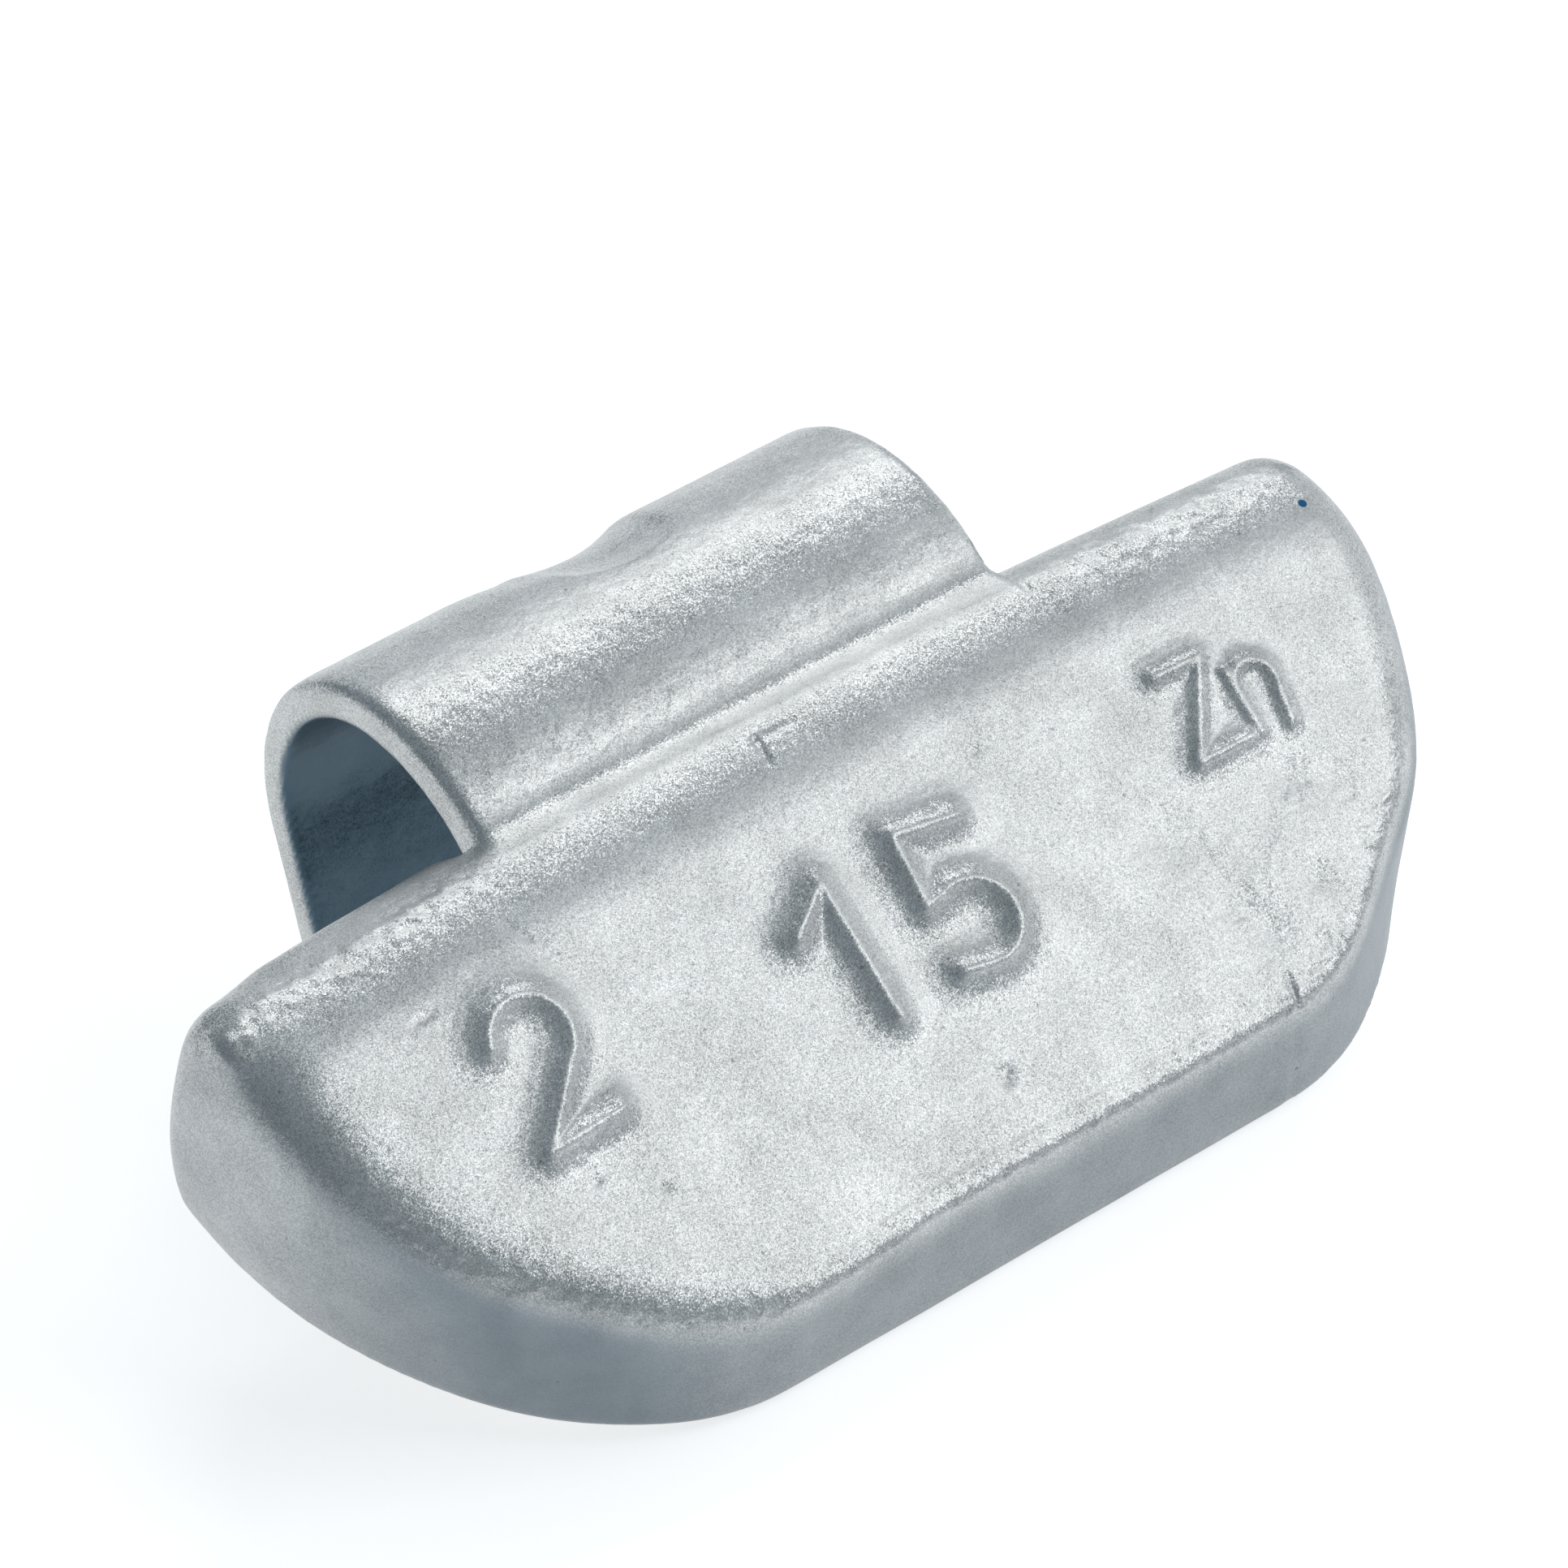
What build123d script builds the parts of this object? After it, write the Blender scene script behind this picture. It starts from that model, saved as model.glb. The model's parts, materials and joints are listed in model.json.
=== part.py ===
from build123d import *
import math
import os

# Clip-on wheel balance weight: a cast zinc body with a spring-steel clip cast into its lip.
# It is drawn in the wheel's own directions: X runs along the rim, Y points outward from the axle,
# Z points to the front, and the back of the casting lies on Z = 0. At the end the weight is turned
# about X to lie as it comes to rest on a table, on its lower back edge and the tip of the clip.
# Lengths are in millimetres and angles in degrees.

# Cast body
body_length = 31.2
body_height = 12.75
bottom_thickness = 2.95
face_slope = 23.0
rim_seat_radius = 195.0
bottom_edge_length = 14.2
lower_corner_radius = 6.15
lower_corner_turn = 29.0
lip_radius = 1.65
lip_turn = 80.0
lip_crown_radius = 4.0
front_edge_radius = 1.25
back_edge_radius = 0.6

# Spring clip, bent from one strip
clip_width = 14.8
strip_thickness = 0.85
hook_inner_radius = 4.15
hook_axis_outward = 2.1
hook_axis_height = 2.45
leg_lean = 29.0
leg_length = 5.7
strip_edge_break = 0.15

# Tang of the clip, inside the casting
tang_entry_angle = 152.0
tang_bend_radius = 1.9
tang_length = 4.3

# Stiffening bead pressed into the back of the hook, a little right of the middle
bead_offset = 0.4
bead_width = 3.4
bead_depth = 0.3
bead_start_angle = 55.0
bead_tip_margin = 2.2

# Hollow fillet of casting metal along the front of the clip's root
root_fillet_radius = 0.5

# The section across the middle of the weight: its own x is outward and its own y is height.
section_plane = Plane.YZ

# Radii about the hook's axis, and the way the leg runs to its tip
hook_axis = Vector(hook_axis_outward, hook_axis_height)
hook_outer_radius = hook_inner_radius + strip_thickness
hook_middle_radius = hook_inner_radius + strip_thickness / 2
lean = math.radians(leg_lean)
leg_heading = Vector(-math.sin(lean), -math.cos(lean))

# Height of the face above the back, by the place outward from the rim seat's edge
face_rise = math.tan(math.radians(face_slope))


def face_height(outward):
    return bottom_thickness + (body_height + outward) * face_rise


def make_lip(start_height):
    """The lip's two arcs: a tight one from the rim seat, then a wide one that runs into the face."""
    seat_arc = JernArc((0, start_height), (0, 1), lip_radius, lip_turn)
    crown = JernArc(seat_arc @ 1, seat_arc % 1, lip_crown_radius, 90 + face_slope - lip_turn)
    return seat_arc, crown


# The lip starts at the height that brings the end of its crown onto the face.
crown_end = make_lip(0)[1] @ 1
lip_start_height = face_height(crown_end.X) - crown_end.Y
lip_centre = Vector(-lip_radius, lip_start_height)


def hook_point(radius, angle):
    """Point of the section at an angle about the hook's axis, from outward toward the front."""
    turn = math.radians(angle)
    return hook_axis + Vector(math.cos(turn), math.sin(turn)) * radius


def sharp_edges(solid, least_turn=15.0):
    """Edges where two faces of the solid meet at an angle."""
    found = []
    for edge in solid.edges():
        sides = [face for face in solid.faces() if edge in face.edges()]
        if len(sides) == 2:
            middle = edge.position_at(0.5)
            turn = sides[0].normal_at(middle).get_angle(sides[1].normal_at(middle))
            if turn > least_turn:
                found.append(edge)
    return found


def lies_on_back(edge):
    return max(abs(edge.position_at(share).Z) for share in (0.0, 0.5, 1.0)) < 0.001


def make_blank():
    """The casting before the clip is let in: upright outline walls, trimmed by the turned rim section."""
    half_bottom = bottom_edge_length / 2
    corner_sine = math.sin(math.radians(lower_corner_turn))
    end_room = body_length / 2 - half_bottom - lower_corner_radius * corner_sine
    end_radius = end_room / (1 - corner_sine)

    bottom = Line((0, -body_height), (half_bottom, -body_height))
    corner = JernArc(bottom @ 1, bottom % 1, lower_corner_radius, lower_corner_turn)
    end = JernArc(corner @ 1, corner % 1, end_radius, 90 - lower_corner_turn)
    side = Line(end @ 1, ((end @ 1).X, body_height))
    half_outline = [bottom, corner, end, side, Line(side @ 1, (0, body_height))]
    outline = make_face(half_outline + [mirror(edge, Plane.YZ) for edge in half_outline])
    walls = extrude(outline, face_height(0))

    # Rim section at mid-length, turned both ways about the wheel's axle
    reach = 1.15 * body_height
    seat_arc, crown = make_lip(lip_start_height)
    seat = Line((0, 0), seat_arc @ 0)
    rest = Polyline(crown @ 1, (-reach, face_height(-reach)), (-reach, 0), (0, 0))
    rim_section = section_plane * make_face([seat, seat_arc, crown, rest])
    axle = Axis((0, -rim_seat_radius, 0), (0, 0, 1))
    half_turn = math.degrees(math.asin(body_length / rim_seat_radius))
    ring = revolve(rim_section, axle, half_turn) + revolve(rim_section, axle, -half_turn)

    blank = (walls & ring).solid()
    front_edges = [edge for edge in sharp_edges(blank) if not lies_on_back(edge)]
    blank = fillet(front_edges, front_edge_radius).solid()
    back_edges = [edge for edge in sharp_edges(blank) if lies_on_back(edge)]
    return fillet(back_edges, back_edge_radius).solid()


def make_strip():
    """Tang, hook and leg as one bent strip with rounded ends and broken side edges."""
    leg_start = hook_point(hook_middle_radius, -leg_lean)
    leg = Line(leg_start + leg_heading * leg_length, leg_start)
    hook = JernArc(leg @ 1, leg % 1, hook_middle_radius, leg_lean + tang_entry_angle)
    # The tang bends back to run under the face, parallel to it.
    bend = JernArc(hook @ 1, hook % 1, tang_bend_radius, face_slope + 90 - tang_entry_angle)
    tang = Line(bend @ 1, bend @ 1 + (bend % 1) * tang_length)
    profile = make_face(offset(Wire([leg, hook, bend, tang]), strip_thickness / 2).edges())
    strip = extrude(section_plane * profile, clip_width / 2, both=True)
    end_faces = strip.faces().sort_by(Axis.X)
    return chamfer(end_faces[0].edges() + end_faces[-1].edges(), strip_edge_break).solid()


def make_bead_rod(radius):
    """Rod with round ends that follows the back of the hook and then the leg."""
    start_turn = math.radians(bead_start_angle)
    start_heading = Vector(math.sin(start_turn), -math.cos(start_turn))
    start = hook_point(bead_path_radius, bead_start_angle)
    leg_top = hook_point(bead_path_radius, -leg_lean)
    bend = JernArc(start, start_heading, bead_path_radius, -bead_start_angle - leg_lean)
    run = Line(bend @ 1, leg_top + leg_heading * (leg_length - bead_tip_margin))
    path = section_plane.offset(bead_offset) * Wire([bend, run])
    rod = sweep(Plane(path @ 0, z_dir=path % 0) * Circle(radius), path)
    return rod + [Pos(path @ end) * Sphere(radius) for end in (0, 1)]


def make_clip(strip):
    """The strip with the bead pressed in: a groove outside and a rib inside, at the strip's own thickness."""
    outer_start = hook_point(hook_outer_radius, -leg_lean)
    outer_leg = Line(outer_start + leg_heading * leg_length, outer_start)
    outer_hook = JernArc(outer_leg @ 1, outer_leg % 1, hook_outer_radius, leg_lean + tang_entry_angle)
    inside = make_face([outer_leg, outer_hook, Line(outer_hook @ 1, outer_leg @ 0)])
    inside = extrude(section_plane * inside, clip_width / 2, both=True)
    groove = make_bead_rod(bead_rod_radius)
    rib = make_bead_rod(bead_rod_radius + strip_thickness) & inside
    return ((strip + rib) - groove).solid()


def make_root_fillet():
    """Bar whose hollow face runs smoothly from the lip onto the hook, in front of the clip's root."""
    lip_reach = lip_radius + root_fillet_radius
    hook_reach = hook_outer_radius + root_fillet_radius
    across = hook_axis - lip_centre
    along = (lip_reach ** 2 - hook_reach ** 2 + across.length ** 2) / (2 * across.length)
    rise = math.sqrt(lip_reach ** 2 - along ** 2)
    unit = across.normalized()
    hollow_centre = lip_centre + unit * along + Vector(-unit.Y, unit.X) * rise
    on_lip = lip_centre + (hollow_centre - lip_centre) * (lip_radius / lip_reach)
    on_hook = hook_axis + (hollow_centre - hook_axis) * (hook_outer_radius / hook_reach)
    in_strip = hook_axis + (hollow_centre - hook_axis) * (hook_middle_radius / hook_reach)
    hollow = RadiusArc(on_lip, on_hook, -root_fillet_radius)
    back = Polyline(on_hook, in_strip, lip_centre, on_lip)
    bar = make_face([hollow, back])
    return extrude(section_plane * bar, clip_width / 2 - strip_edge_break, both=True)


def make_body(blank, strip):
    """The blank with its root fillet, and the strip's own space cut out."""
    return (blank + make_root_fillet() - strip).solid()


# The groove's section is an arc of this radius; its centre runs this far from the hook's axis.
bead_rod_radius = (bead_width ** 2 / 4 + bead_depth ** 2) / (2 * bead_depth)
bead_path_radius = hook_outer_radius - bead_depth + bead_rod_radius

blank = make_blank()
strip = make_strip()
spring_clip = make_clip(strip)
weight_body = make_body(blank, strip)

# Lying turn: the table touches the round tip of the leg and the round lower back edge.
tip = hook_point(hook_middle_radius, -leg_lean) + leg_heading * leg_length
back_edge = Vector(back_edge_radius - body_height, back_edge_radius)
span = tip - back_edge
sink = math.asin((strip_thickness / 2 - back_edge_radius) / span.length)
rest_turn = -math.degrees(math.atan2(span.Y, span.X) - sink)

nodes = {"weight_body": weight_body, "spring_clip": spring_clip}
turned = {name: Rot(rest_turn, 0, 0) * solid for name, solid in nodes.items()}
box = Compound(list(turned.values())).bounding_box()
to_origin = Pos(-box.center().X, -box.center().Y, -box.min.Z)

os.makedirs("parts", exist_ok=True)
for name, solid in turned.items():
    export_step(to_origin * solid, f"parts/{name}.step")
print("lying turn", rest_turn, "moved", to_origin.position)
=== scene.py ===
# Dressed wheel balance weight: a painted zinc casting with raised marks and its painted spring clip,
# in a pale studio. Shapes are worked out in the casting's own frame, in millimetres: x runs along the rim,
# out points outward from the axle, and front points away from the casting's flat back.
# A pair of values named as a range says where something fades in or out.
import json
import math

import bmesh
import bpy
import numpy as np
from mathutils import Matrix, Vector, noise


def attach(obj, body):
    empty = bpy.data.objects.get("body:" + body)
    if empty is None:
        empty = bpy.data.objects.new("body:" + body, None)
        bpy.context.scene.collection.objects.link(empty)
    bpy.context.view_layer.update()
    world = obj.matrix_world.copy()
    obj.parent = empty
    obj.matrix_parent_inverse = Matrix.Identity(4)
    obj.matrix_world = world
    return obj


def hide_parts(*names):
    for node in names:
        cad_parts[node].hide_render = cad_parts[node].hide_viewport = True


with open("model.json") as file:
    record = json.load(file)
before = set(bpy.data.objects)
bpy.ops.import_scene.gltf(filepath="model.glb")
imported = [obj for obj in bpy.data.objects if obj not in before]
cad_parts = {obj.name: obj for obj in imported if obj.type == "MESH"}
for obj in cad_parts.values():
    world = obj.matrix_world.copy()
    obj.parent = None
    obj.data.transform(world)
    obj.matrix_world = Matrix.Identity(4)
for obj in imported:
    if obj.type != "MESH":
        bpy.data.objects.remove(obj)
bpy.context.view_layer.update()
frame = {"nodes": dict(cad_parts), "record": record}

MM = 0.001

# Sizes of the weight, as in the part
hook_axis = np.array([2.1, 2.45])
hook_outer_radius = 5.0
leg_lean = math.radians(29.0)
lip_radius = 1.65
lip_centre = np.array([-lip_radius, 5.457])
body_height = 12.75
bottom_thickness = 2.95
face_slope = math.radians(23.0)
rim_seat_radius = 195.0
front_edge_radius = 1.25

# Even meshes that the shapes are worked on: their size, and the steps that smooth them
casting_voxel = 0.185
clip_voxel = 0.12
weld_distance = 0.0005
smoothing_rounds = 3
smoothing_push = 0.5
smoothing_pull = -0.53

# Least length or cosine to divide by, and the least length of a normal's share in the plan
least_divisor = 0.1
least_normal = 1e-6

# Front of the casting: depth under the face, cosine of the turn from it, and margin behind its lower edge
front_depth = 1.0
front_cosine = 0.6
front_margin = 0.6

# Raised marks on the face: narrow crests with hollow flanks that flow into the face
ridge_height = 0.26
ridge_crest = 0.05
ridge_reach = 1.15
ridge_hollow = 3.0
ridge_raggedness = 0.03
ridge_smoothing_rounds = 6
fine_ridge_height = 0.03

# Bottom edge of the face: nearly sharp, but not at the ends or on the left
sharp_edge_rounding = 0.12
sharp_wall_range = (0.7, 0.95)
sharp_out_range = (-9.0, -7.0)
sharp_x_range = (-8.5, -5.5)
back_margin = 0.5

# Left end of the face and of its lip: rounder than the part
left_softening_rounds = 32
left_face_x_range = (-9.5, -6.5)
left_face_out_range = (-4.0, -3.0)
left_tip_x_range = (-14.6, -12.8)
left_tip_out_range = (-2.9, -1.9)
left_front_range = (1.5, 3.0)

# Lip left of the clip: a slightly sunken bevel, at this angle from outward toward the front
bevel_turn = math.radians(60.0)
bevel_edge_rounding = 0.14
bevel_sag = 0.045
bevel_sag_out = -1.0
bevel_sag_half_width = 0.45
bevel_sag_least_turn = 0.5
bevel_clip_range = (-8.5, -7.5)
bevel_tip_range = (-14.4, -13.0)
lip_round_margin = 0.3

# Tip of the left lip: a tighter edge between its top and the end wall
tip_edge_rounding = 0.2
tip_softening_rounds = 2
tip_x = -14.2
tip_out = -4.2
tip_front = 5.2
tip_x_range = (-14.2, -13.6)
tip_low_out_range = (-2.7, -1.7)
tip_high_out_range = (-1.7, -0.7)
tip_front_range = (5.0, 6.0)

# Draft of the lower walls: they lean in toward a spine, less at the left and little at the two ends.
wall_draft = 0.2
draft_start = 0.5
draft_away_range = (2.5, 5.5)
draft_out_range = (-6.5, -3.5)
left_draft_share = 0.45
left_draft_range = (-8.0, -2.0)
end_draft_share = 0.2
end_draft_range = (0.2, 0.8)
spine_half_length = 7.1
spine_out = -6.6

# The two ends of the casting swell at mid-height and draw in to the back.
swell = 0.38
swell_front = 3.6
back_draw = 0.68
swell_x_range = (11.5, 15.0)

# Seam on the lower wall
seam_place = 7.26
seam_half_width = 0.12
seam_depth = 0.04
seam_mesh_reach = 0.4
seam_wall_range = (0.7, 0.9)

# Uneven surface: pebbles on the lip beside the clip, ragged edges of the face, and slow waves all over
pebble_size = 0.25
pebble_height = 0.04
pebble_low_out_range = (-2.4, -1.8)
pebble_high_out_range = (-1.0, -0.5)
pebble_x_range = (7.6, 8.6)
ragged_size = 0.22
ragged_height = 0.025
ragged_low_tilt_range = (8, 20)
ragged_high_tilt_range = (30, 50)
ragged_out_range = (-4.5, -3.6)
wave_size = 2.2
wave_height = 0.012

# Painted shade on the walls of the casting, darker and bluer by their tilt from the face in degrees
# and by how far they face the rim or the axle
wall_tilt_range = (28, 62)
rim_side_range = (0.15, 0.4)
least_shade = 0.25
axle_shade = 0.65
axle_shade_range = (0.1, 0.7)
bottom_relief = 0.25
bottom_relief_range = (0.8, 1.0)

# Clip: rounded side edges and a slow run into the left side of the bead. Turns are in degrees about the
# hook's axis.
clip_softening_rounds = 16
clip_edge_x_range = (6.3, 6.9)
clip_edge_depth_range = (0.35, 0.55)
bead_left = -1.5
bead_run_in = 0.1
bead_run_half_width = 0.8
bead_outside_range = (0.3, 0.8)
bead_turn_range = (45, 60)
clip_wave_size = 0.7
clip_wave_height = 0.01

# Thick coat inside the hook, thickest in its upper part. It fades out at the root and toward the leg's tip.
inner_coat = 0.12
upper_inner_coat = 0.12
upper_turn_range = (50, 95)
coat_depth_range = (0.3, 0.75)
coat_root_range = (122, 135)
coat_leg_range = (-100, -80)
# Painted shade inside the hook: how far the inner faces turn from outward before it is full
inner_shade_range = (0.35, 0.75)

# Paint in the two corners between the casting and the root of the clip. The front one is a hollow that fades
# out under the clip, by turn and sink; the inner one is a section by radius and angle about the hook's axis.
root_hollow = 0.9
skirt_fading = [(3.0, 0.01), (7.0, 0.05), (12.0, 0.14)]
skirt_depth = 0.5
skirt_back_turn = 10.0
inner_skirt = [(3.95, 122.0), (4.1, 117.0), (4.25, 111.0), (4.5, 111.0), (4.5, 132.0), (3.95, 132.0)]
skirt_half_width = 7.25


# Casting frame, from the place and direction of the rim slot
slot_mount = next(mount for mount in frame["record"]["mounts"] if mount["name"] == "rim_slot")
to_front = -np.array(slot_mount["axis"], float)
to_right = np.array([1.0, 0.0, 0.0])
to_out = np.cross(to_front, to_right)
casting_axes = np.array([to_right, to_out, to_front])
casting_origin = np.array(slot_mount["pos_m"], float) - hook_axis @ casting_axes[1:] * MM


def to_casting(points):
    return (points - casting_origin) @ casting_axes.T / MM


def to_row(points):
    return points @ casting_axes * MM + casting_origin


# Curves and noise

def step_up(value, low, high):
    """Rises smoothly from 0 at low to 1 at high."""
    share = np.clip((value - low) / (high - low), 0, 1)
    return share * share * (3 - 2 * share)


def step_down(value, low, high):
    """Falls smoothly from 1 at low to 0 at high."""
    return step_up(-value, -high, -low)


def hill(value, middle, half_width):
    """Rounded hill of height 1."""
    return np.exp(-((value - middle) / half_width) ** 2)


def nearer(first, second, rounding):
    """The smaller of two distances, with a rounded change from one to the other."""
    return -rounding * np.logaddexp(-first / rounding, -second / rounding)


def reach_over(radius, cosine):
    """Distance to a flat side from the centre of a round, along a way that turns from the side's own."""
    return radius / np.maximum(cosine, least_divisor)


def noise_at(points, wavelength, seed):
    """Smooth noise between about -1 and 1 at each point."""
    shift = Vector((seed, 2.3 * seed, -1.7 * seed))
    return np.array([noise.noise(Vector(point) / wavelength + shift) for point in points])


def line_distance(places, start, end):
    """Distance from each place to a straight line between two places."""
    start = np.array(start)
    run = np.subtract(end, start)
    share = np.clip((places - start) @ run / (run @ run), 0, 1)
    return np.linalg.norm(places - start - share[:, None] * run, axis=1)


def arc_points(centre, radius, start, end, steps=14):
    """Places along an arc between two angles in degrees."""
    turns = np.radians(np.linspace(start, end, steps))
    return [(centre[0] + radius * math.cos(turn), centre[1] + radius * math.sin(turn)) for turn in turns]


def heading(start, end):
    """Angle of the way from one place to another, in degrees."""
    across, along = np.subtract(end, start)
    return math.degrees(math.atan2(along, across))


def hook_place(radius, angle):
    """Place outward and to the front, by its radius and its angle about the hook's axis."""
    turn = math.radians(angle)
    return hook_axis + radius * np.array([math.cos(turn), math.sin(turn)])


# Meshes

def points_of(mesh):
    points = np.empty(len(mesh.vertices) * 3)
    mesh.vertices.foreach_get("co", points)
    return points.reshape(-1, 3)


def normals_of(mesh):
    normals = np.empty(len(mesh.vertices) * 3)
    mesh.vertex_normals.foreach_get("vector", normals)
    return normals.reshape(-1, 3)


def set_points(mesh, points):
    mesh.vertices.foreach_set("co", points.ravel())
    mesh.update()


def set_values(mesh, name, values):
    """Keeps one number for each point, for the material to read."""
    attribute = mesh.attributes.new(name, "FLOAT", "POINT")
    attribute.data.foreach_set("value", values.astype(np.float32))


def add_bar(work, places):
    """Adds a closed bar along the rim to a mesh, from its section outward and to the front."""
    ends = []
    for x in (-skirt_half_width, skirt_half_width):
        ends.append([work.verts.new((x, *place)) for place in places])
    faces = [work.faces.new(end) for end in ends]
    for first in range(len(places)):
        second = (first + 1) % len(places)
        faces.append(work.faces.new([ends[0][first], ends[0][second], ends[1][second], ends[1][first]]))
    bmesh.ops.recalc_face_normals(work, faces=faces)


def remeshed_copy(node, name, voxel, bars=()):
    """Even copy of a node's mesh and the bars added to it, in the casting frame and in millimetres."""
    mesh = frame["nodes"][node].data.copy()
    mesh.materials.clear()
    set_points(mesh, to_casting(points_of(mesh)))
    work = bmesh.new()
    work.from_mesh(mesh)
    bmesh.ops.remove_doubles(work, verts=work.verts, dist=weld_distance)
    for section in bars:
        add_bar(work, section)
    work.to_mesh(mesh)
    work.free()
    piece = bpy.data.objects.new(name, mesh)
    bpy.context.collection.objects.link(piece)
    remesh = piece.modifiers.new("even", "REMESH")
    remesh.mode = "VOXEL"
    remesh.voxel_size = voxel
    evened = piece.evaluated_get(bpy.context.evaluated_depsgraph_get())
    piece.data = bpy.data.meshes.new_from_object(evened)
    piece.modifiers.clear()
    bpy.data.meshes.remove(mesh)
    return piece


def neighbour_mean(mesh):
    """Makes a function that averages values over the neighbours of each point."""
    edges = np.empty(len(mesh.edges) * 2, int)
    mesh.edges.foreach_get("vertices", edges)
    first, second = edges.reshape(-1, 2).T
    total_points = len(mesh.vertices)
    count = np.bincount(first, minlength=total_points) + np.bincount(second, minlength=total_points)

    def mean(values):
        total = np.zeros_like(values)
        np.add.at(total, first, values[second])
        np.add.at(total, second, values[first])
        return (total.T / count).T
    return mean


def smooth(mesh):
    """Evens out the surface without shrinking it."""
    mean = neighbour_mean(mesh)
    points = points_of(mesh)
    for step in [smoothing_push, smoothing_pull] * smoothing_rounds:
        points += step * (mean(points) - points)
    set_points(mesh, points)


def soften(mesh, share, rounds):
    """Rounds the edges by each point's share."""
    mean = neighbour_mean(mesh)
    points = points_of(mesh)
    for _ in range(rounds):
        points += smoothing_push * share[:, None] * (mean(points) - points)
    set_points(mesh, points)


def refine(mesh, near):
    """Halves the edges whose two ends are marked as near."""
    work = bmesh.new()
    work.from_mesh(mesh)
    work.verts.ensure_lookup_table()
    edges = [edge for edge in work.edges if near[edge.verts[0].index] and near[edge.verts[1].index]]
    bmesh.ops.subdivide_edges(work, edges=edges, cuts=1, use_grid_fill=True)
    bmesh.ops.triangulate(work, faces=[face for face in work.faces if len(face.verts) > 4])
    work.to_mesh(mesh)
    work.free()


# Marks and flaws of the face

# Strokes of the marks, in millimetres from each mark's lower left corner
one_strokes = [[(0.0, 2.55), (1.2, 3.4), (1.2, 0.0)]]
five_strokes = [
    [(1.8, 3.3), (0.15, 3.55), (0.0, 1.8)],
    [(0.0, 1.8)] + arc_points((0.93, 0.98), 1.0, 115, -100) + [(-0.05, 0.15)],
]
two_strokes = [arc_points((1.0, 2.3), 1.0, 165, -35) + [(0.0, 0.0), (2.0, 0.0)]]
z_strokes = [[(0.15, 2.2), (1.4, 2.2), (0.0, 0.0), (1.45, 0.05)]]
n_strokes = [
    [(0.0, 1.65), (0.0, 0.1)],
    [(0.05, 1.3)] + arc_points((0.55, 1.2), 0.52, 165, -10) + [(0.8, 0.0)],
]

# Each mark's strokes, its lower left corner on the face, and its share of the full ridge height and reach
marks = [
    (one_strokes, (-2.7, 4.8), 1.0),
    (five_strokes, (0.5, 4.8), 1.0),
    (two_strokes, (-10.5, 6.1), 0.95),
    (z_strokes, (8.4, 6.65), 0.62),
    (n_strokes, (10.2, 6.6), 0.52),
]

# Flaws of casting and handling, by their place along the rim and outward

# Pits and shallow dents: place, radius and depth
pits = [
    ((0.0, -10.5), 0.17, 0.05),
    ((0.2, -10.35), 0.1, 0.04),
    ((3.7, -4.3), 0.07, 0.05),
    ((2.85, -1.55), 0.06, 0.05),
    ((-9.85, -8.1), 0.08, 0.05),
    ((-8.5, -8.9), 0.1, 0.04),
    ((-0.75, -8.9), 0.06, 0.04),
    ((10.2, -7.6), 0.45, 0.05),
    ((11.2, -8.05), 0.5, 0.03),
    ((7.7, -10.3), 0.5, 0.06),
    ((7.5, -9.6), 0.4, 0.04),
    ((9.5, -9.9), 0.4, 0.04),
    ((12.9, -6.4), 0.45, 0.035),
    ((6.6, -7.6), 0.7, 0.04),
]
pit_raggedness = 0.3

# Blisters near the right edge: place and radius. Each has a raised rim and a sunken middle, in shares of it.
blisters = [
    ((11.7, -9.0), 0.11),
    ((11.1, -9.45), 0.08),
    ((8.9, -11.0), 0.11),
    ((9.35, -11.15), 0.08),
    ((8.4, -11.3), 0.08),
    ((7.0, -11.2), 0.1),
    ((6.35, -11.55), 0.11),
]
blister_height = 0.18
blister_rim = 1.2
blister_rim_half_width = 0.5
blister_middle = 0.8

# Cracks, creases and scratches: two ends, half-width and depth
cracks = [
    ((7.35, -8.1), (7.4, -9.05), 0.08, 0.01),
    ((9.55, -7.9), (8.25, -8.95), 0.3, 0.02),
    ((7.45, -11.4), (7.35, -11.95), 0.06, 0.05),
    ((-8.5, -2.7), (-8.2, -3.3), 0.08, 0.03),
    ((-11.6, -3.55), (-11.1, -3.55), 0.08, 0.03),
    ((7.4, -0.6), (7.4, -1.5), 0.08, 0.05),
    ((9.8, -1.75), (9.8, -2.55), 0.07, 0.015),
    ((-0.65, -1.8), (-0.8, -2.5), 0.07, 0.08),
    ((-0.65, -1.8), (0.45, -1.8), 0.07, 0.06),
]
crack_raggedness = 0.04

face_normal = np.array([0.0, -math.sin(face_slope), math.cos(face_slope)])


def plan_places(points):
    """Place of each point along the rim and outward."""
    out = np.hypot(points[:, 0], rim_seat_radius + points[:, 1]) - rim_seat_radius
    return np.column_stack([points[:, 0], out])


def face_places(points):
    """Place of each point along the rim and up the face, and its height over the face."""
    rise = plan_places(points)[:, 1] + body_height
    over = (points[:, 2] - bottom_thickness - rise * math.tan(face_slope)) * math.cos(face_slope)
    up = rise / math.cos(face_slope) + over * math.tan(face_slope)
    return np.column_stack([points[:, 0], up]), over


def on_front(mesh):
    """Points on the face and on its edges."""
    points = points_of(mesh)
    near_face = (face_places(points)[1] > -front_depth) & (points[:, 2] > bottom_thickness - front_margin)
    return near_face & (normals_of(mesh) @ face_normal > front_cosine)


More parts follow.
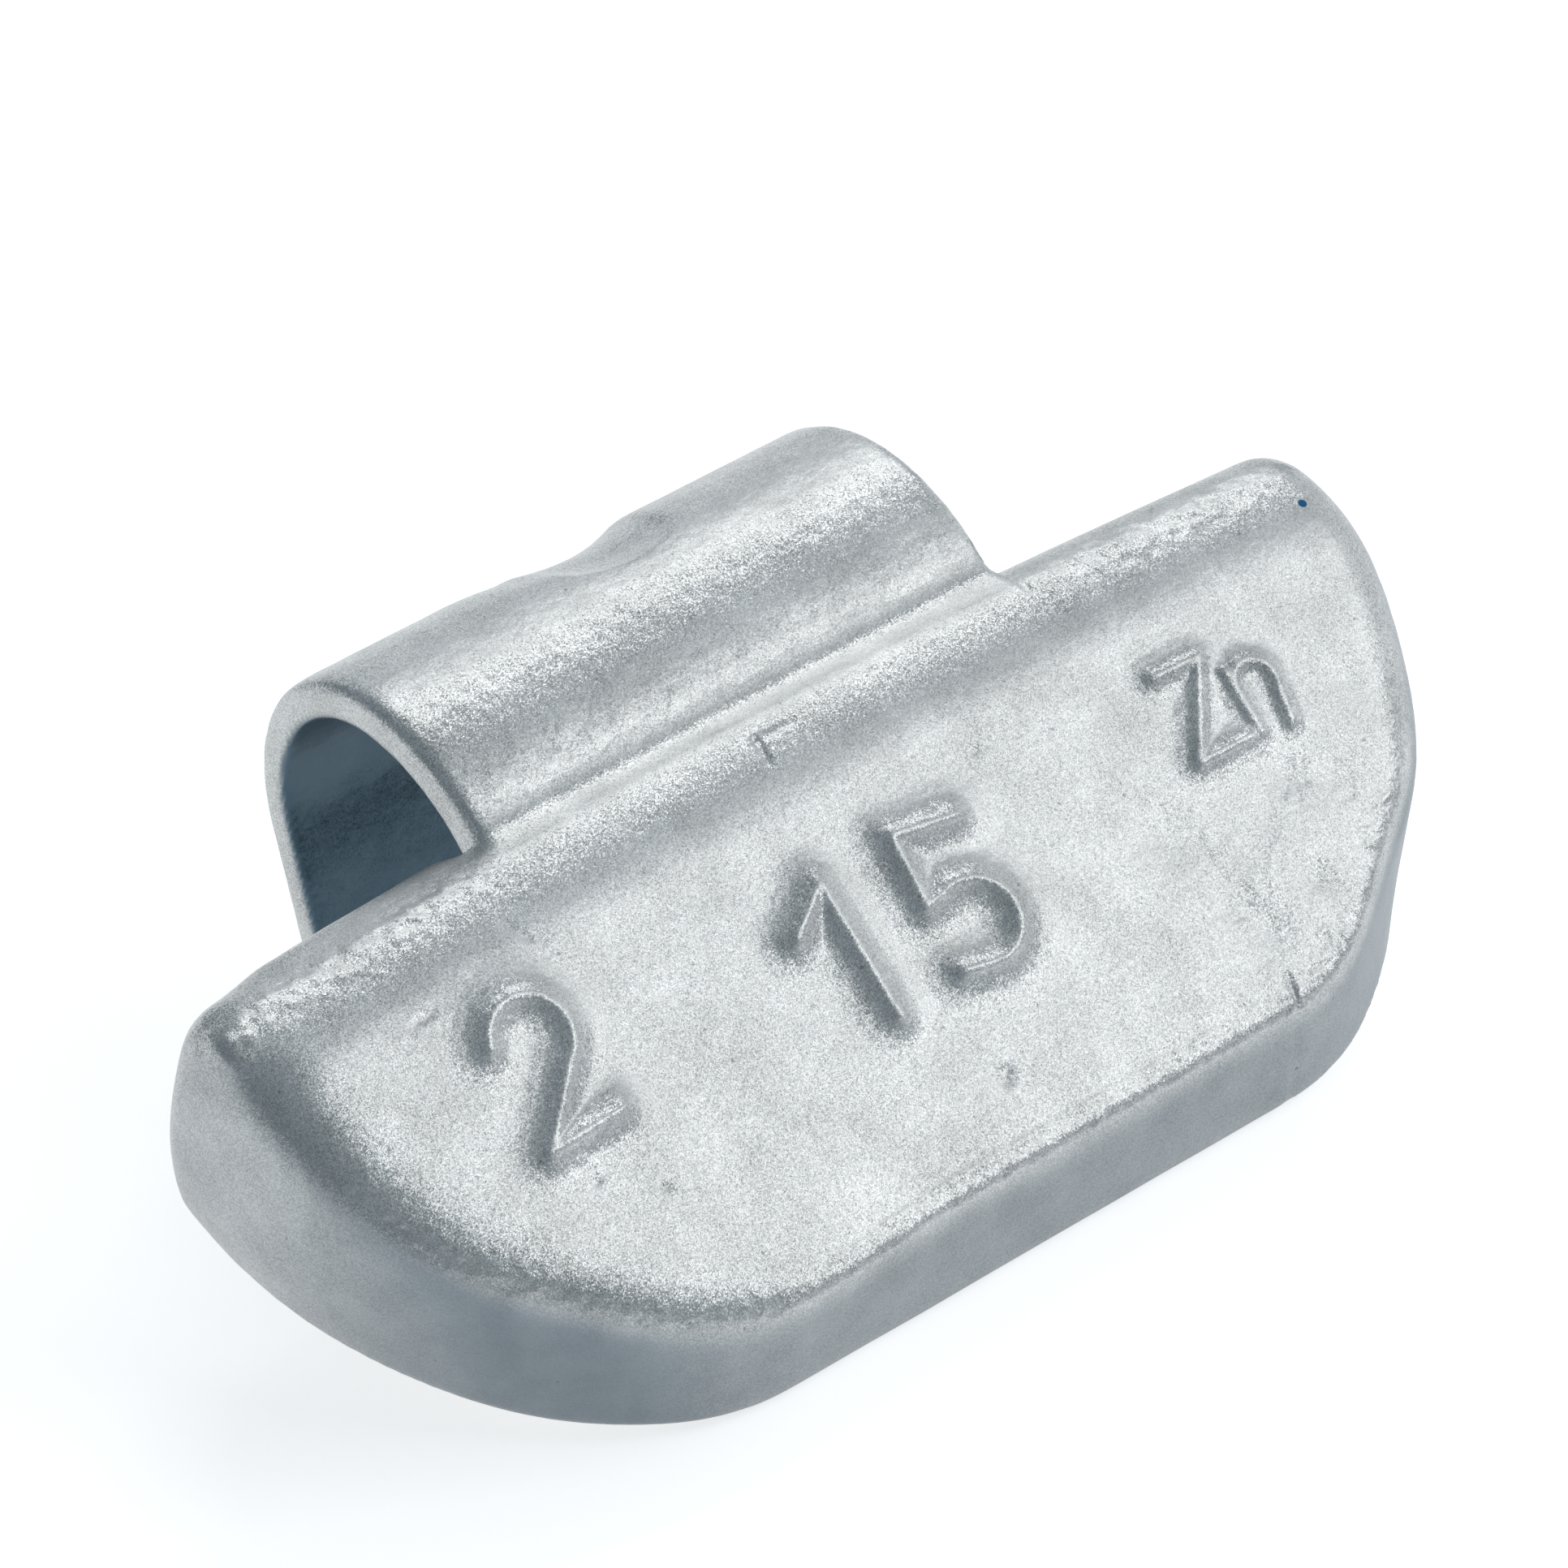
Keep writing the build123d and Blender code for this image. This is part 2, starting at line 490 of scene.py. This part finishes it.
def mark_height(points, ragged=0.0):
    """Height of the raised marks; a little raggedness wears their crests."""
    places = face_places(points)[0]
    height = np.zeros(len(places))
    for strokes, corner, size in marks:
        away = np.full(len(places), np.inf)
        for stroke in strokes:
            line = np.array(stroke) + corner
            for start, end in zip(line[:-1], line[1:]):
                away = np.minimum(away, line_distance(places, start, end))
        away = np.maximum(away + ragged - ridge_crest, 0)
        share = np.clip(1 - away / (ridge_reach * size), 0, 1)
        height = np.maximum(height, ridge_height * size * share ** ridge_hollow)
    return height


def flaw_height(plan, ragged):
    """Height of all the flaws; a little raggedness keeps their edges uneven."""
    height = np.zeros(len(plan))
    for place, radius, depth in pits:
        away = np.linalg.norm(plan - place, axis=1) * (1 + pit_raggedness * ragged)
        height -= depth * hill(away, 0, radius)
    for place, radius in blisters:
        away = np.linalg.norm(plan - place, axis=1) / radius
        rim = hill(away, blister_rim, blister_rim_half_width)
        height += blister_height * radius * (rim - hill(away, 0, blister_middle))
    for start, end, width, depth in cracks:
        height -= depth * hill(line_distance(plan, start, end) + crack_raggedness * ragged, 0, width)
    return height


# Casting

def front_skirt():
    """Section of the paint in front of the clip's root: a hollow from lip to hook, then a fading edge."""
    across = hook_axis - lip_centre
    span = np.linalg.norm(across)
    lip_reach = lip_radius + root_hollow
    along = (lip_reach ** 2 - (hook_outer_radius + root_hollow) ** 2 + span ** 2) / (2 * span)
    rise = math.sqrt(lip_reach ** 2 - along ** 2)
    centre = lip_centre + (along * across + rise * np.array([-across[1], across[0]])) / span
    section = arc_points(centre, root_hollow, heading(centre, lip_centre), heading(centre, hook_axis))
    root_angle = heading(hook_axis, centre)
    section += [hook_place(hook_outer_radius - sink, root_angle - turn) for turn, sink in skirt_fading]
    deep_radius = hook_outer_radius - skirt_depth
    section.append(hook_place(deep_radius, root_angle - skirt_fading[-1][0]))
    section.append(hook_place(deep_radius, root_angle + skirt_back_turn))
    return section + [lip_centre]


def soften_left_end(mesh):
    """Rounds the left end of the face and the tip of its lip."""
    points = points_of(mesh)
    x, out = plan_places(points).T
    left_face = step_down(x, *left_face_x_range) * step_down(out, *left_face_out_range)
    left_tip = step_down(x, *left_tip_x_range) * step_down(out, *left_tip_out_range)
    left_end = np.maximum(left_face, left_tip) * step_up(points[:, 2], *left_front_range)
    soften(mesh, left_end, left_softening_rounds)


def bevel_left_lip(mesh):
    """Turns the round of the lip, left of the clip, into a flat bevel with a tight lower edge."""
    points = points_of(mesh)
    x, out = plan_places(points).T
    away = np.column_stack([out, points[:, 2]]) - lip_centre
    radius = np.linalg.norm(away, axis=1)
    turn = np.arctan2(away[:, 1], away[:, 0])
    to_bevel = reach_over(lip_radius, np.cos(bevel_turn - turn))
    to_seat = reach_over(lip_radius, np.cos(turn))
    grow = np.maximum(nearer(to_bevel, to_seat, bevel_edge_rounding) - lip_radius, 0)
    on_round = (turn > 0) & (turn < bevel_turn) & (np.abs(radius - lip_radius) < lip_round_margin)
    sag = bevel_sag * hill(out, bevel_sag_out, bevel_sag_half_width) * (turn > bevel_sag_least_turn)
    move = np.where(on_round, grow, 0) - sag
    move = move * step_down(x, *bevel_clip_range) * step_up(x, *bevel_tip_range)
    points[:, 1:] += (move / np.maximum(radius, least_divisor))[:, None] * away
    set_points(mesh, points)


def sharpen_left_tip(mesh):
    """Brings the round between the lip's top and the left end wall out to a tighter edge."""
    points = points_of(mesh)
    normals = normals_of(mesh)
    x, out = plan_places(points).T
    to_wall = reach_over(front_edge_radius, -normals[:, 0])
    to_top = reach_over(front_edge_radius, np.hypot(normals[:, 1], normals[:, 2]))
    grow = np.maximum(nearer(to_top, to_wall, tip_edge_rounding) - front_edge_radius, 0)
    share = step_up(out, *tip_low_out_range) * step_down(out, *tip_high_out_range)
    share = share * step_up(points[:, 2], *tip_front_range)
    share = share * step_down(x, *tip_x_range) * (normals[:, 0] < 0)
    points += (share * grow)[:, None] * normals
    set_points(mesh, points)
    at_tip = (points[:, 0] < tip_x) & (points[:, 1] > tip_out) & (points[:, 2] > tip_front)
    soften(mesh, at_tip.astype(float), tip_softening_rounds)


def refine_details(mesh):
    """Makes the mesh finer on the front, finer again on the marks, and finer along the seam."""
    refine(mesh, on_front(mesh))
    refine(mesh, on_front(mesh) & (mark_height(points_of(mesh)) > fine_ridge_height))
    near_seam = np.abs(points_of(mesh)[:, 0] - seam_place) < seam_mesh_reach
    refine(mesh, near_seam & (normals_of(mesh)[:, 1] < -seam_wall_range[0]))


def sharpen_bottom(points, normals):
    """Brings the round between the face and the bottom wall out to a nearly sharp edge."""
    flat = np.maximum(np.linalg.norm(normals[:, :2], axis=1), least_normal)
    wall_way = normals[:, :2] / flat[:, None]
    corner = np.arccos(np.clip(wall_way @ face_normal[:2], -1, 1))
    tilt = np.arccos(np.clip(normals @ face_normal, -1, 1))
    inside = (tilt < corner) & (points[:, 2] > back_margin)
    to_face = reach_over(front_edge_radius, np.cos(tilt))
    to_wall = reach_over(front_edge_radius, np.cos(corner - tilt))
    grow = np.maximum(nearer(to_face, to_wall, sharp_edge_rounding) - front_edge_radius, 0)
    x, out = plan_places(points).T
    share = step_up(-wall_way[:, 1], *sharp_wall_range) * step_down(out, *sharp_out_range)
    share = share * step_up(x, *sharp_x_range)
    points += np.where(inside, share * grow, 0)[:, None] * normals


def draw_walls(points):
    """Leans the lower walls in toward the face, and takes the face's edge along its own slope."""
    plan = plan_places(points)
    spine_x = np.clip(plan[:, 0], -spine_half_length, spine_half_length)
    inward = np.column_stack([spine_x, np.full(len(plan), spine_out)]) - plan
    away = np.linalg.norm(inward, axis=1)
    share = step_up(away, *draft_away_range) * step_down(plan[:, 1], *draft_out_range)
    share = share * (left_draft_share + (1 - left_draft_share) * step_up(plan[:, 0], *left_draft_range))
    away = np.maximum(away, least_divisor)
    to_rim = inward[:, 1] / away
    share = share * (end_draft_share + (1 - end_draft_share) * step_up(to_rim, *end_draft_range))
    rise = np.maximum(points[:, 2] - draft_start, 0)
    move = (wall_draft * share * rise / away)[:, None] * inward
    points[:, :2] += move
    points[:, 2] += move[:, 1] * math.tan(face_slope)


def surface_height(mesh, points, normals, front, tilt):
    """Height of marks, flaws, pebbles, ragged edges, waves and the seam."""
    x, out = plan_places(points).T
    ragged = noise_at(points_of(mesh), ragged_size, seed=7.0)
    mean = neighbour_mean(mesh)
    height = np.where(front, mark_height(points, ridge_raggedness * ragged), 0)
    for _ in range(ridge_smoothing_rounds):
        height += smoothing_push * (mean(height) - height)
    height += np.where(front, flaw_height(plan_places(points), ragged), 0)
    lip_band = step_up(out, *pebble_low_out_range) * step_down(out, *pebble_high_out_range)
    lip_band = lip_band * step_up(np.abs(x), *pebble_x_range)
    height += np.where(front, pebble_height * lip_band * noise_at(points, pebble_size, seed=1.0), 0)
    edge_band = step_up(tilt, *ragged_low_tilt_range) * step_down(tilt, *ragged_high_tilt_range)
    height += ragged_height * edge_band * step_down(out, *ragged_out_range) * ragged
    height += wave_height * noise_at(points, wave_size, seed=3.0)
    on_wall = step_up(-normals[:, 1], *seam_wall_range)
    return height - seam_depth * hill(x, seam_place, seam_half_width) * on_wall


def swell_ends(points):
    """Swells the two ends at mid-height and draws them in to the back."""
    away = (points[:, 2] - swell_front) / swell_front
    bulge = swell - np.where(away < 0, back_draw, swell) * np.minimum(away ** 2, 1)
    share = step_up(np.abs(points[:, 0]), *swell_x_range)
    points[:, 0] += np.sign(points[:, 0]) * share * bulge


def wall_painted_shade(normals, tilt):
    """Share of painted shade at each point: most on walls toward the axle, but less where they face it
    squarely.
    """
    outward = normals[:, 1]
    walls = step_up(tilt, *wall_tilt_range) * (1 - step_up(outward, *rim_side_range))
    shade = least_shade + axle_shade * step_up(-outward, *axle_shade_range)
    return walls * (shade - bottom_relief * step_up(-outward, *bottom_relief_range))


def dress_casting():
    """Painted casting, shaped from its CAD node."""
    skirts = [front_skirt(), [hook_place(*place) for place in inner_skirt]]
    casting = remeshed_copy("weight_body", "painted_casting", casting_voxel, skirts)
    mesh = casting.data
    smooth(mesh)
    soften_left_end(mesh)
    bevel_left_lip(mesh)
    sharpen_left_tip(mesh)
    refine_details(mesh)

    points = points_of(mesh)
    normals = normals_of(mesh)
    front = on_front(mesh)
    tilt = np.degrees(np.arccos(np.clip(normals @ face_normal, -1, 1)))
    sharpen_bottom(points, normals)
    draw_walls(points)
    height = surface_height(mesh, points, normals, front, tilt)
    points += height[:, None] * np.where(front[:, None], face_normal, normals)
    swell_ends(points)
    # Painted shade: darker, bluish paint on the lower walls, by how they face the light
    set_values(mesh, "painted_shade", wall_painted_shade(normals, tilt))
    set_points(mesh, to_row(points))
    mesh.shade_smooth()
    return casting


# Clip

def hook_depths(points):
    """Way out of the hook or its leg at each point, depth below the outside, and turn in degrees."""
    away = points[:, 1:] - hook_axis
    turn = np.degrees(np.arctan2(away[:, 1], away[:, 0]))
    leg_way = np.array([math.cos(leg_lean), -math.sin(leg_lean)])
    radius = np.maximum(np.linalg.norm(away, axis=1), least_divisor)
    on_leg = turn < -math.degrees(leg_lean)
    way = np.where(on_leg[:, None], leg_way, away / radius[:, None])
    depth = hook_outer_radius - np.where(on_leg, away @ leg_way, radius)
    return way, depth, turn


def round_clip_edges(mesh):
    """Rounds the outer edges at the two sides of the clip."""
    points = points_of(mesh)
    depth = hook_depths(points)[1]
    outer_edge = step_up(np.abs(points[:, 0]), *clip_edge_x_range) * step_down(depth, *clip_edge_depth_range)
    soften(mesh, outer_edge, clip_softening_rounds)


def dress_clip():
    """Painted clip, shaped from its CAD node."""
    clip = remeshed_copy("spring_clip", "painted_clip", clip_voxel)
    mesh = clip.data
    smooth(mesh)
    round_clip_edges(mesh)

    points = points_of(mesh)
    normals = normals_of(mesh)
    way, depth, turn = hook_depths(points)
    outward = np.sum(way * normals[:, 1:], axis=1)
    run_in = bead_run_in * hill(points[:, 0], bead_left, bead_run_half_width)
    run_in = run_in * step_up(outward, *bead_outside_range) * step_down(turn, *bead_turn_range)
    wave = clip_wave_height * noise_at(points, clip_wave_size, seed=5.0)
    points += (wave - run_in)[:, None] * normals
    coat = inner_coat + upper_inner_coat * step_up(turn, *upper_turn_range)
    coat = coat * step_up(depth, *coat_depth_range)
    coat = coat * step_down(turn, *coat_root_range) * step_up(turn, *coat_leg_range)
    points[:, 1:] -= coat[:, None] * way
    # Painted shade: dark bluish paint on the faces inside the hook
    set_values(mesh, "painted_shade", step_up(-outward, *inner_shade_range))
    set_points(mesh, to_row(points))
    mesh.shade_smooth()
    return clip


# Materials

class Nodes:
    """Short way to add and join shader nodes in one material."""

    def __init__(self, name):
        self.material = bpy.data.materials.new(name)
        self.material.use_nodes = True
        self.tree = self.material.node_tree
        self.tree.nodes.clear()

    def add(self, kind, settings=None, **inputs):
        node = self.tree.nodes.new(kind)
        for key, value in (settings or {}).items():
            setattr(node, key, value)
        for key, value in inputs.items():
            self.put(node, key, value)
        return node

    def put(self, node, key, value):
        """Sets or joins an input, found by its name or, as in i0, by its number."""
        socket = node.inputs[int(key[1:])] if key[1:].isdigit() else node.inputs[key.replace("_", " ")]
        if isinstance(value, bpy.types.NodeSocket):
            self.tree.links.new(value, socket)
        else:
            socket.default_value = value

    def ramp(self, factor, stops):
        """Color that runs between two stops, each a place and a color."""
        node = self.add("ShaderNodeValToRGB", i0=factor)
        for element, (place, color) in zip(node.color_ramp.elements, stops):
            element.position = place
            element.color = (*color, 1.0)
        return node.outputs["Color"]

    def math(self, operation, first, second=0.0):
        return self.add("ShaderNodeMath", {"operation": operation}, i0=first, i1=second).outputs[0]

    def vector(self, operation, first, **inputs):
        return self.add("ShaderNodeVectorMath", {"operation": operation}, i0=first, **inputs).outputs[0]

    def mix(self, factor, first, second):
        node = self.add("ShaderNodeMix", {"data_type": "RGBA"}, i0=factor, i6=first, i7=second)
        return node.outputs[2]

    def clouds(self, place, size, detail):
        node = self.add("ShaderNodeTexNoise", Vector=place, Scale=1 / (size * MM), Detail=detail)
        return node.outputs["Fac"]

    def cells(self, place, size):
        return self.add("ShaderNodeTexVoronoi", Vector=place, Scale=1 / (size * MM)).outputs


white = (1.0, 1.0, 1.0)
grey = (0.5, 0.5, 0.5)
black = (0.0, 0.0, 0.0)

# Silver paint: slow clouds, and flakes that each have their own tone and tilt
open_tones = [(0.34, 0.344, 0.34), (0.86, 0.864, 0.856)]
open_stops = (0.2, 0.8)
# Painted shade runs between its two tones over the clouds, between these stops
painted_shade_stops = (0.35, 0.65)
cloud_size = 1.5
cloud_share = 0.4
flake_size = 0.026
flake_share = 0.6
flake_tilt = 0.25
# Share by which painted shade flattens the flakes and the peel
painted_shade_flattening = 0.6
metal_share = 0.72

# Dark specks, each at the middle of a cell: how far apart, how large as a share of that, and their color
speck_spacing = 1.0
speck_stops = (0.03, 0.055)
speck_color = (0.08, 0.1, 0.12, 1)

# Small blue spot of paint near the right end of the lip
spot_place = to_row(np.array([14.44, -3.01, 7.12]))
spot_radius = 0.13
spot_core = 0.75
spot_color = (0.01, 0.12, 0.28, 1)


def paint_color(nodes, place, flake, painted_shade, painted_shade_tones):
    """Tones of the flakes and of the painted shade, with the specks and the spot over them."""
    cloud = nodes.clouds(place, cloud_size, detail=4.0)
    glint = nodes.math(
        "ADD", nodes.math("MULTIPLY", cloud, cloud_share), nodes.math("MULTIPLY", flake, flake_share))
    open_color = nodes.ramp(glint, list(zip(open_stops, open_tones)))
    # Painted shade on the lower walls and inside the hook, by the share each mesh keeps
    painted_shade_color = nodes.ramp(cloud, list(zip(painted_shade_stops, painted_shade_tones)))
    color = nodes.mix(painted_shade, open_color, painted_shade_color)
    speck = nodes.cells(place, speck_spacing)["Distance"]
    dirt = nodes.ramp(speck, list(zip(speck_stops, (grey, black))))
    color = nodes.mix(dirt, color, speck_color)
    away = nodes.add("ShaderNodeVectorMath", {"operation": "DISTANCE"}, i0=place, i1=spot_place)
    spot = nodes.math("DIVIDE", away.outputs["Value"], spot_radius * MM)
    spot = nodes.ramp(spot, [(spot_core, white), (1.0, black)])
    return nodes.mix(spot, color, spot_color)


def make_paint(name, painted_shade_tones, roughness, peel_size, peel_depth):
    """Silver paint with flakes that each catch the light, and painted shade that is flatter and darker on
    the casting's lower walls and inside the hook.
    """
    nodes = Nodes(name)
    place = nodes.add("ShaderNodeTexCoord").outputs["Object"]
    # Share of painted shade that each mesh keeps for each point
    painted_shade = nodes.add("ShaderNodeAttribute", {"attribute_name": "painted_shade"}).outputs["Fac"]
    flake = nodes.cells(place, flake_size)["Color"]
    color = paint_color(nodes, place, flake, painted_shade, painted_shade_tones)
    unshaded_share = nodes.math("SUBTRACT", 1.0, nodes.math("MULTIPLY", painted_shade, painted_shade_flattening))
    lean = nodes.vector("SUBTRACT", flake, i1=grey)
    lean = nodes.vector("SCALE", lean, Scale=nodes.math("MULTIPLY", unshaded_share, flake_tilt))
    peel = nodes.clouds(place, peel_size, detail=3.0)
    bump = nodes.add("ShaderNodeBump", Height=peel, Distance=peel_depth * MM, Strength=unshaded_share)
    tilted = nodes.vector("NORMALIZE", nodes.vector("ADD", bump.outputs["Normal"], i1=lean))
    paint = nodes.add(
        "ShaderNodeBsdfPrincipled",
        Base_Color=color, Metallic=metal_share, Roughness=roughness, Normal=tilted)
    nodes.add("ShaderNodeOutputMaterial", Surface=paint.outputs["BSDF"])
    return nodes.material


# The darker tones are painted shade: bluish grey on the casting's lower walls, dark blue inside the hook
casting_paint = make_paint(
    "casting_paint", painted_shade_tones=[(0.18, 0.22, 0.25), (0.22, 0.26, 0.29)],
    roughness=0.36, peel_size=0.25, peel_depth=0.012)
clip_paint = make_paint(
    "clip_paint", painted_shade_tones=[(0.087, 0.148, 0.196), (0.105, 0.168, 0.216)],
    roughness=0.34, peel_size=0.4, peel_depth=0.03)

casting = dress_casting()
casting.data.materials.append(casting_paint)
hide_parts("weight_body")
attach(casting, "root")

clip = dress_clip()
clip.data.materials.append(clip_paint)
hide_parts("spring_clip")
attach(clip, "root")


# Studio, in metres

# Softboxes: azimuth, elevation, distance, width, height and glow
softboxes = {
    "front_softbox": (42, 40, 0.5, 0.34, 0.28, 2.1),
    "back_softbox": (135, 46, 0.5, 0.28, 0.2, 2.6),
    "side_softbox": (90, 20, 0.6, 0.5, 0.3, 0.8),
    "top_softbox": (85, 66, 0.5, 0.3, 0.12, 0.6),
    "low_back_softbox": (152, 12, 0.6, 0.5, 0.2, 0.6),
}
sky_color = (0.72, 0.89, 1.0, 1)
sky_strength = 0.28
floor_half = 1.5
floor_color = (0.88, 0.88, 0.88, 1)
floor_glow = 0.64


def direction(azimuth, elevation):
    """Unit vector from the weight; azimuth 0 is in front of it and 90 is at its right."""
    turn = math.radians(azimuth)
    rise = math.radians(elevation)
    return Vector((math.sin(turn) * math.cos(rise), -math.cos(turn) * math.cos(rise), math.sin(rise)))


def add_softbox(name, azimuth, elevation, distance, width, height, glow):
    """Soft light of a given brightness that faces the weight."""
    light = bpy.data.lights.new(name, "AREA")
    light.shape = "RECTANGLE"
    light.size = width
    light.size_y = height
    light.energy = glow * math.pi * width * height
    lamp = bpy.data.objects.new(name, light)
    bpy.context.collection.objects.link(lamp)
    away = direction(azimuth, elevation)
    lamp.location = away * distance
    lamp.rotation_euler = away.to_track_quat("Z", "Y").to_euler()


def make_floor_finish():
    """Pale floor that looks white to the eye and in reflections, and keeps the shadow."""
    nodes = Nodes("pale_floor")
    path = nodes.add("ShaderNodeLightPath").outputs
    seen = nodes.math("MAXIMUM", path["Is Camera Ray"], path["Is Glossy Ray"])
    seen = nodes.math("MAXIMUM", seen, path["Is Transmission Ray"])
    glow = nodes.add("ShaderNodeEmission", Strength=nodes.math("MULTIPLY", seen, floor_glow)).outputs[0]
    matte = nodes.add("ShaderNodeBsdfDiffuse", Color=floor_color).outputs[0]
    both = nodes.add("ShaderNodeAddShader", i0=matte, i1=glow).outputs[0]
    nodes.add("ShaderNodeOutputMaterial", Surface=both)
    return nodes.material


def add_floor():
    corners = [(-1, -1), (1, -1), (1, 1), (-1, 1)]
    mesh = bpy.data.meshes.new("floor")
    mesh.from_pydata([(x * floor_half, y * floor_half, 0) for x, y in corners], [], [(0, 1, 2, 3)])
    mesh.materials.append(make_floor_finish())
    floor = bpy.data.objects.new("floor", mesh)
    bpy.context.collection.objects.link(floor)
    return floor


for name, values in softboxes.items():
    add_softbox(name, *values)

world = bpy.data.worlds.new("studio")
world.use_nodes = True
world.node_tree.nodes["Background"].inputs["Color"].default_value = sky_color
world.node_tree.nodes["Background"].inputs["Strength"].default_value = sky_strength
bpy.context.scene.world = world

floor = add_floor()

# Camera at the photograph's viewing angle, in millimetres and degrees
view_azimuth = -35.374
view_elevation = 35.529
view_roll = math.radians(-5.643)
view_distance = 185.07
view_target = Vector((0.917, 0.668, 7.406))
view_lens = 188.95
view_sensor = 36.0

back = direction(view_azimuth, view_elevation)
level_right = Vector((0, 0, 1)).cross(back).normalized()
level_up = back.cross(level_right)
right = level_right * math.cos(view_roll) + level_up * math.sin(view_roll)
up = back.cross(right)
camera_data = bpy.data.cameras.new("photo_camera")
camera_data.sensor_width = view_sensor
camera_data.lens = view_lens
camera = bpy.data.objects.new("photo_camera", camera_data)
bpy.context.collection.objects.link(camera)
camera_turn = Matrix((right, up, back)).transposed().to_4x4()
camera.matrix_world = Matrix.Translation((view_target + back * view_distance) * MM) @ camera_turn
bpy.context.scene.camera = camera

bpy.context.scene.view_settings.view_transform = "Standard"
